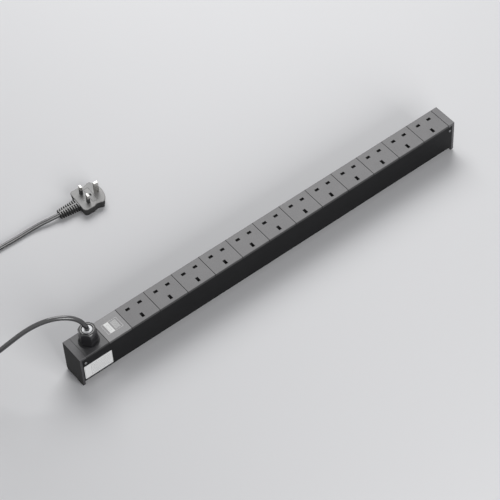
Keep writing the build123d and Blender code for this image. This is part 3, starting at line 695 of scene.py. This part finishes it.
# %% Plastics and rubbers
socket_finish = moulded("socket_plastic", (0.072, 0.070, 0.073), (0.128, 0.125, 0.129), 0.40,
                        shade=joints_every(socket_pitch))
cap_finish = moulded("cap_plastic", (0.074, 0.072, 0.076), (0.118, 0.115, 0.121), 0.40,
                     shade=cap_shade)
# The left end cap and the gland module are darker than the right cap and the other modules: painted
# shade of the light falling off towards the left end, and on the gland module of the nut's shadow.
shaded_left_cap_finish = moulded("left_cap_painted_shade", (0.034, 0.033, 0.036), (0.058, 0.056, 0.061), 0.42,
                          shade=cap_shade)
shaded_gland_module_finish = moulded("gland_module_painted_shade", (0.034, 0.034, 0.036),
                              (0.060, 0.059, 0.062), 0.42, shade=joints_every(plain_pitch))
shutter_finish = moulded("shutter_plastic", (0.010, 0.010, 0.011), (0.018, 0.018, 0.019), 0.5,
                         level=0.3)
gland_finish = moulded("gland_nylon", (0.007, 0.007, 0.008), (0.013, 0.013, 0.015), 0.25,
                       900.0, 0.4, polish=0.7)
seal_finish = moulded("grey_rubber", (0.86, 0.87, 0.88), (0.94, 0.95, 0.96), 0.42, 1400.0, 0.5)
washer_finish = moulded("black_rubber", (0.014, 0.014, 0.015), (0.026, 0.026, 0.028), 0.6,
                        1200.0, 0.3)
# The plug is black PVC. Its pin face and the rib tops of its strain relief are painted a lighter
# grey that stands in for their sheen, and its sides and the grooves are painted near black as
# shade.
plug_sheen_and_shade_finish = moulded("plug_plastic", (0.125, 0.123, 0.121), (0.190, 0.187, 0.183), 0.34,
                      1500.0, 0.8, shade=painted_shade_below_pin_face)
relief_sheen_and_shade_finish = moulded("relief_painted_sheen_and_shade", (0.110, 0.109, 0.108), (0.230, 0.227, 0.224), 0.30,
                        1500.0, 0.8, shade=painted_shade_between_ribs)
sleeve_finish = moulded("holder_plastic", (0.018, 0.018, 0.019), (0.034, 0.034, 0.036), 0.4,
                        1500.0, 0.6)
inner_finish = moulded("inner_plastic", (0.030, 0.030, 0.032), (0.055, 0.055, 0.058), 0.5,
                       900.0, 0.4)

# %% [markdown]
# The blank module carries a small printed panel: a thin frame, a plain pale field and a few ruled
# lines, all pad-printed flat. Ink has no thickness worth modelling, so it is a mask worked out from
# the distances along X and Y, which stays put whatever the view.


# %% Printed panel on the blank module
panel_x, panel_y = -0.2937, -0.0002
panel_half_length, panel_half_width = 0.0137, 0.0104
printed_line = 0.0004
field_x, field_half_length = -0.0056, 0.0042
window_x, window_half_length, window_half_width = -0.0062, 0.0021, 0.0056
rules_x, rules_half_length, rules_half_width = 0.0060, 0.0048, 0.0078
rule_pitch, rule_half = 0.0008, 0.00034


def inside(across, along, half_length, half_width):
    """1 inside a rectangle with these half sizes, and 0 outside."""
    return (across.absolute() < half_length) * (along.absolute() < half_width)


def outline(across, along, half_length, half_width):
    """1 on the printed line along the edge of a rectangle with these half sizes."""
    inner = inside(across, along, half_length - printed_line, half_width - printed_line)
    return inside(across, along, half_length, half_width) - inner


def panel_ink(finish):
    """Frame, pale field with a window, and ruled lines of the printed panel."""
    across, along = finish.along("X") - panel_x, finish.along("Y") - panel_y
    frame_line = outline(across, along, panel_half_length, panel_half_width)
    field = inside(across - field_x, along, field_half_length, panel_half_width - printed_line)
    window = outline(across - window_x, along, window_half_length, window_half_width)
    rules = inside(across - rules_x, along, rules_half_length, rules_half_width)
    rules = rules * (across.folded(rule_pitch) < rule_half)
    worn = 0.75 + 0.30 * finish.noise(3000.0, 2.0)
    return (0.75 * frame_line + field - 0.55 * window + 0.75 * rules) * worn


blank_finish = moulded("printed_plastic", (0.165, 0.162, 0.166), (0.245, 0.242, 0.246), 0.38,
                       ink=panel_ink, shade=joints_every(plain_pitch))

# %% [markdown]
# The lead's sheath is smooth PVC. It shines in long streaks, and its tone wanders a little along
# the way, as on a lead that has been handled. The streaks come from the lamps by themselves, so the
# finish only needs a low roughness and a high reflection.

# %% Finish of the lead
sheath = Finish("cord_sheath")
skin = sheath.noise(700.0, 3.0)
patch = sheath.noise(35.0, 2.0)
sheath.shade(
    Base_Color=sheath.mix(patch, (0.022, 0.022, 0.024), (0.038, 0.038, 0.041)),
    Roughness=0.14 + 0.10 * skin,
    Specular_IOR_Level=0.9,
    Normal=sheath.bump(skin, 0.00001, 0.4),
)
print("finish", sheath.material.name)

# %% [markdown]
# The metal pieces differ in colour and in how they were shaped: nickel-plated pins and brass
# busbars are drawn or rolled lengthwise, steel springs along the strip, and zinc-plated screws have
# no direction. So one function takes the colour and how far the marks are stretched along each
# axis, and adds the faint cloudiness that every plating has.


# %% Finishes of metal
def metal(name, dark, light, rough, lines):
    """A metal with marks along the direction in which it was drawn or rolled."""
    finish = Finish(name)
    marks = finish.noise(1.0, 3.0, finish.stretched(lines))
    haze = finish.noise(180.0, 2.0)
    print("finish", name)
    return finish.shade(
        Base_Color=finish.mix(haze, dark, light),
        Metallic=1.0,
        Roughness=rough + 0.15 * marks,
        Normal=finish.bump(marks, 0.00002, 0.5),
    )


pin_finish = metal("nickel_plated", (0.48, 0.47, 0.45), (0.62, 0.61, 0.59), 0.20,
                   (2500.0, 2500.0, 60.0))
screw_finish = metal("zinc_plated", (0.20, 0.20, 0.21), (0.32, 0.32, 0.33), 0.30,
                     (900.0, 900.0, 900.0))
brass_finish = metal("rolled_brass", (0.66, 0.47, 0.19), (0.80, 0.61, 0.28), 0.28,
                     (30.0, 2200.0, 2200.0))
steel_finish = metal("spring_steel", (0.48, 0.48, 0.50), (0.62, 0.62, 0.64), 0.25,
                     (60.0, 2500.0, 2500.0))

# %% [markdown]
# The cores inside are brown, blue, and green with yellow, as in every mains lead. The earth core's
# two colours share one noise, cut sharply in the middle, because its stripe wanders round the core
# and no straight mask would follow it.


# %% Finishes of the cores
def core_plastic(name, dark, light):
    """A smooth coloured plastic with slight cloudiness."""
    finish = Finish(name)
    cloudiness = finish.noise(220.0, 2.0)
    return finish.shade(
        Base_Color=finish.mix(cloudiness, dark, light),
        Roughness=0.35 + 0.1 * cloudiness,
        Normal=finish.bump(cloudiness, 0.00002, 0.3),
    )


core_finishes = {
    "wire_live": core_plastic("core_brown", (0.09, 0.035, 0.015), (0.13, 0.05, 0.02)),
    "wire_neutral": core_plastic("core_blue", (0.02, 0.07, 0.30), (0.03, 0.10, 0.38)),
}
striped = Finish("core_green_yellow")
stripe = striped.ramp(striped.noise(160.0, 0.0), 0.49, 0.51)
striped.shade(
    Base_Color=striped.mix(stripe, (0.03, 0.22, 0.03), (0.72, 0.60, 0.03)),
    Roughness=0.38 + 0.05 * striped.noise(700.0),
)
for name in ("wire_earth", "bond_lead"):
    core_finishes[name] = striped.material
print("finishes of cores", {name: finish.name for name, finish in core_finishes.items()})

# %% [markdown]
# A cartridge fuse is a ceramic tube with a metal cap at each end. It is one solid in the model, so
# the caps are told from the tube by their distance from the fuse's middle.

# %% Finish of the fuse
tube_half_length = 0.0062
fuse_low, fuse_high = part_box("fuse")
fuse_middle = (fuse_low.y + fuse_high.y) / 2
ceramic = Finish("fuse_tube")
plated = (ceramic.along("Y") - fuse_middle).absolute() > tube_half_length
ceramic.shade(
    Base_Color=ceramic.mix(plated, (0.80, 0.77, 0.70), (0.70, 0.70, 0.69)),
    Metallic=plated,
    Roughness=0.28 + 0.12 * ceramic.noise(500.0),
)
print("fuse from", round(fuse_low.y, 4), "to", round(fuse_high.y, 4))

# %% [markdown]
# Each CAD node now gets the finish of its material. The table is by node, so a reader finds a piece
# and its finish on one line, and the twelve sockets and shutters share theirs.


# %% Dress the CAD nodes
def dress(node, material):
    """Put a finish in every material slot of a CAD node."""
    slots = nodes[node].material_slots
    if not slots:
        nodes[node].data.materials.append(material)
    for slot in nodes[node].material_slots:
        slot.material = material


finishes = {
    "profile": anodised.material,
    "end_cap_left": shaded_left_cap_finish, "end_cap_right": cap_finish,
    "gland_module": shaded_gland_module_finish, "blank_module": blank_finish,
    "cap_screws": screw_finish, "terminal_screws": screw_finish, "bond_screw": screw_finish,
    "contact_carriers": inner_finish, "terminal_block": inner_finish,
    "shutter_springs": steel_finish,
    "busbar_live": brass_finish, "busbar_neutral": brass_finish, "busbar_earth": brass_finish,
    "gland_washer": washer_finish, "gland_body": gland_finish, "gland_locknut": gland_finish,
    "gland_nut": gland_finish, "gland_seal": seal_finish,
    "cord_entry": sheath.material,
    "plug_body": plug_sheen_and_shade_finish, "plug_relief": relief_sheen_and_shade_finish, "plug_sleeves": sleeve_finish,
    "plug_pin_live": pin_finish, "plug_pin_neutral": pin_finish, "plug_pin_earth": pin_finish,
    "fuse_carrier": plug_sheen_and_shade_finish, "fuse": ceramic.material,
    **core_finishes,
}
for number in socket_numbers:
    finishes[f"socket_{number:02d}"] = socket_finish
    finishes[f"shutter_{number:02d}"] = shutter_finish
for node, material in finishes.items():
    dress(node, material)
print("nodes without a finish", sorted(set(nodes) - set(finishes)))

# %% [markdown]
# The lead is dressed in the sheath's finish, and the tie in a fuzzy black fabric, whose loops are
# far too small to model: a fine noise lights and darkens them, and a deep bump breaks up the edge.

# %% Dress the lead and the tie
lead.data.materials.append(sheath.material)
fabric = Finish("hook_and_loop")
loops = fabric.noise(1600.0, 2.0)
fabric.shade(
    Base_Color=fabric.mix(loops, (0.012, 0.012, 0.013), (0.05, 0.05, 0.052)),
    Roughness=0.85 + 0.1 * loops,
    Normal=fabric.bump(loops, 0.0002, 0.8),
)
tie.data.materials.append(fabric.material)
print("finish", fabric.material.name)

# %% [markdown]
# The rating label is a thin film with rounded corners stuck to the front wall. It could be a patch
# of colour on the wall, but a real film has an edge that catches the light, so it is a flat block
# with its four upright corners rounded.

# %% Label on the front wall
label_middle = (-0.33825, -0.02231, 0.029)
label_size = (0.0505, 0.00012, 0.030)
label_corner = 0.0012
label = add_block(label_size, label_middle)
select_edges(label, runs_along_y)
bpy.ops.mesh.bevel(offset=label_corner, segments=4)
label = finish_piece("rating_label")
print("label", len(label.data.polygons), "faces")

# %% [markdown]
# The film is white and satin, with a thin frame, one divider and ruled rows, like a label that
# waits to be filled in. The lines are a mask of distances, as on the panel.

# %% Finish of the label
frame_inner, frame_outer = (0.0238, 0.0136), (0.0241, 0.0139)
divider_x, divider_half = -0.0130, 0.00018
rows_x, rows_half_length, rows_half_height = 0.00535, 0.01685, 0.0120
row_pitch, row_half = 0.0017, 0.00026

film = Finish("label_film")
across = film.along("X") - label_middle[0]
upwards = film.along("Z") - label_middle[2]
framed = inside(across, upwards, *frame_inner)
frame_line = inside(across, upwards, *frame_outer) - framed
divider = ((across - divider_x).absolute() < divider_half) * framed
rows = inside(across - rows_x, upwards, rows_half_length, rows_half_height)
rows = rows * (upwards.folded(row_pitch) < row_half)
lines = (frame_line + divider + rows).clamped()
fibre = film.noise(900.0, 3.0)
white_film = film.mix(fibre, (0.93, 0.93, 0.925), (0.97, 0.97, 0.965))
film.shade(
    Base_Color=film.mix(lines * 0.75, white_film, (0.22, 0.22, 0.23)),
    Roughness=0.32 + 0.12 * fibre,
    Normal=film.bump(fibre, 0.00001, 0.3),
)
label.data.materials.append(film.material)
print("finish", film.material.name)

# %% [markdown]
# Pan-head screws hold the end caps. A head is a short cylinder with a domed edge, and its cross
# recess is cut by a Boolean with two crossed bars. One is modelled face up at the origin, and each
# screw of the model is a copy of it, turned as a hand would leave it.

# %% One pan head
head_radius, head_height = 0.0023, 0.0012
dome_radius = 0.0007
recess_size = (0.0026, 0.00055, 0.0012)
recess_middle = 0.0011

deselect_all()
bpy.ops.mesh.primitive_cylinder_add(vertices=32, radius=head_radius, depth=head_height,
                                    location=(0.0, 0.0, head_height / 2))
pan_head = bpy.context.object
bpy.ops.object.transform_apply(location=True, rotation=True, scale=True)
select_edges(pan_head, lambda edge: all(v.co.z > head_height - 0.0001 for v in edge.verts))
bpy.ops.mesh.bevel(offset=dome_radius, segments=4)
bpy.ops.object.mode_set(mode="OBJECT")
for angle in (0.0, math.pi / 2):
    cut_away(pan_head, add_block(recess_size, (0.0, 0.0, recess_middle), angle))
print("pan head", len(pan_head.data.polygons), "faces")

# %% [markdown]
# The head is copied to both ends of the front and the back wall, where the real screws go into the
# end caps' spigots. Each copy has its own mesh, so its place can be kept in the mesh.

# %% Four screws on the strip
screw_x = 0.3594
screw_z = 0.0515


def screw_at(name, x, side, turn):
    """A copy of the pan head on the front (-1) or back (1) wall."""
    screw = bpy.data.objects.new(name, pan_head.data.copy())
    scene.collection.objects.link(screw)
    make_active(screw)
    facing = Matrix.Rotation(-side * math.pi / 2, 4, "X") @ Matrix.Rotation(turn, 4, "Z")
    screw.matrix_world = Matrix.Translation((x, side * wall_y, screw_z)) @ facing
    screw = finish_piece(name, 35)
    screw.data.materials.append(screw_finish)
    return screw


screws = [
    screw_at("screw_front_left", -screw_x, -1, 0.5),
    screw_at("screw_front_right", screw_x, -1, 1.1),
    screw_at("screw_back_left", -screw_x, 1, 0.2),
    screw_at("screw_back_right", screw_x, 1, 0.9),
]
bpy.data.objects.remove(pan_head)
print("screws", [screw.name for screw in screws])

# %% [markdown]
# Moulded parts never have a knife-sharp edge. A copy of each plastic node gets a Bevel modifier of
# a fraction of a millimetre, so that every seam, slot and rim catches a thin line of light as the
# real ones do. The fuse carrier's copy also has its small slot cut to the width of a screwdriver.
# The CAD node is hidden, and the copy moves with the same body.


# %% Softened edges of the moulded parts
def soften(node, radius, cutter=None):
    """A copy of a CAD node, less a cutter's volume, with its sharp edges rounded."""
    obj = copy_node(node, f"soft_{node}")
    if cutter:
        cut_away(obj, cutter)
    add_modifier(obj, "BEVEL", width=radius, segments=2, limit_method="ANGLE",
                 angle_limit=math.radians(28), use_clamp_overlap=True)
    piece = finish_piece(f"soft_{node}", 40, flat_faces=True)
    piece.data.materials.append(finishes[node])
    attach(piece, "fuse_holder" if node == "fuse_carrier" else "strip")
    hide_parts(node)
    return piece


edge_radii = dict.fromkeys((
    "gland_module", "blank_module", "end_cap_left", "end_cap_right",
    *[f"socket_{number:02d}" for number in socket_numbers],
), 0.00015)
edge_radii.update(plug_body=0.0005, plug_relief=0.0003, gland_body=0.0003)
softened = {node: soften(node, radius) for node, radius in edge_radii.items()}

pry_slot_size = (0.0026, 0.0052, 0.0032)
carrier_edge_radius = 0.0002
carrier_low, carrier_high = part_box("fuse_carrier")
carrier_middle = (carrier_low + carrier_high) / 2
slot_place = (carrier_middle.x, carrier_middle.y, carrier_high.z)
pry_slot = add_block(pry_slot_size, slot_place, plug_turn)
softened["fuse_carrier"] = soften("fuse_carrier", carrier_edge_radius, pry_slot)
print("softened", {name: len(piece.data.polygons) for name, piece in softened.items()})

# %% [markdown] Behind each shutter sits a leaf spring, which a plug's earth pin flattens against
# its post.

# %% One leaf spring for each socket
for number in socket_numbers:
    middle_x = sockets_start + socket_pitch * (number - 0.5)
    spring = copy_node("shutter_springs", f"leaf_spring_{number:02d}")
    select_faces(spring,
                 lambda face: abs(face.calc_center_median().x - middle_x) > socket_pitch / 2)
    bpy.ops.mesh.delete(type="FACE")
    spring = finish_piece(f"leaf_spring_{number:02d}", 30)
    spring.data.materials.append(steel_finish)
    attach(spring, "strip")
    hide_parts("shutter_springs")
    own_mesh(spring)

# %% [markdown]
# The dome nut gets what the mould gives the real one: fine grip grooves around its flats, and a
# ring-shaped channel in its rim. Grooves painted as a bump would vanish at its outline, so a copy
# of the CAD nut is cut across by pairs of bisections, and the bands between them are pushed in. The
# rim is inset and its middle sunk.

# %% Grip grooves of the dome nut
nut_low, nut_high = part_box("gland_nut")
nut = copy_node("gland_nut", "gland_nut_grooved")
groove_width, groove_depth, groove_pitch = 0.0007, 0.00035, 0.0021
first_groove = nut_low.z + 0.0024
groove_starts = [first_groove + groove_pitch * index for index in range(5)]
flats_from_axis = 0.0115
rim_ring, rim_depth = 0.0007, 0.0005
nut_edge_radius = 0.00025
bpy.ops.object.mode_set(mode="EDIT")
for height in [edge for start in groove_starts for edge in (start, start + groove_width)]:
    bpy.ops.mesh.select_all(action="SELECT")
    bpy.ops.mesh.bisect(plane_co=(gland_x, 0.0, height), plane_no=(0.0, 0.0, 1.0))


def in_groove(face):
    """Whether a face is on the outside of the nut and between two cuts."""
    middle = face.calc_center_median()
    outside = math.hypot(middle.x - gland_x, middle.y) > flats_from_axis
    upright = abs(face.normal.z) < 0.2
    between = any(start < middle.z < start + groove_width for start in groove_starts)
    return outside and upright and between


def on_rim(face):
    """Whether a face is part of the flat rim at the top."""
    return face.normal.z > 0.9 and face.calc_center_median().z > nut_high.z - 0.0002


select_faces(nut, in_groove)
bpy.ops.mesh.extrude_region_shrink_fatten(
    TRANSFORM_OT_shrink_fatten={"value": -groove_depth, "use_even_offset": True})
select_faces(nut, on_rim)
bpy.ops.mesh.inset(thickness=rim_ring, depth=-rim_depth)
add_modifier(nut, "BEVEL", width=nut_edge_radius, segments=2, limit_method="ANGLE",
             angle_limit=math.radians(30), use_clamp_overlap=True)
nut = finish_piece("gland_nut_grooved", 40, flat_faces=True)
nut.data.materials.append(gland_finish)
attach(nut, "strip")
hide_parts("gland_nut")
print("nut", len(nut.data.polygons), "faces")

# %% [markdown]
# Last, each new piece is told which body it moves with, and the CAD nodes of the cap screws and
# of the lead are hidden.

# %% Tie the pieces to the model
for piece in (lead, tie, label, *screws):
    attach(piece, "strip")
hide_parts("cap_screws")
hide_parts("cord_lead", "cord_coil", "cord_tail")

# %% [markdown]
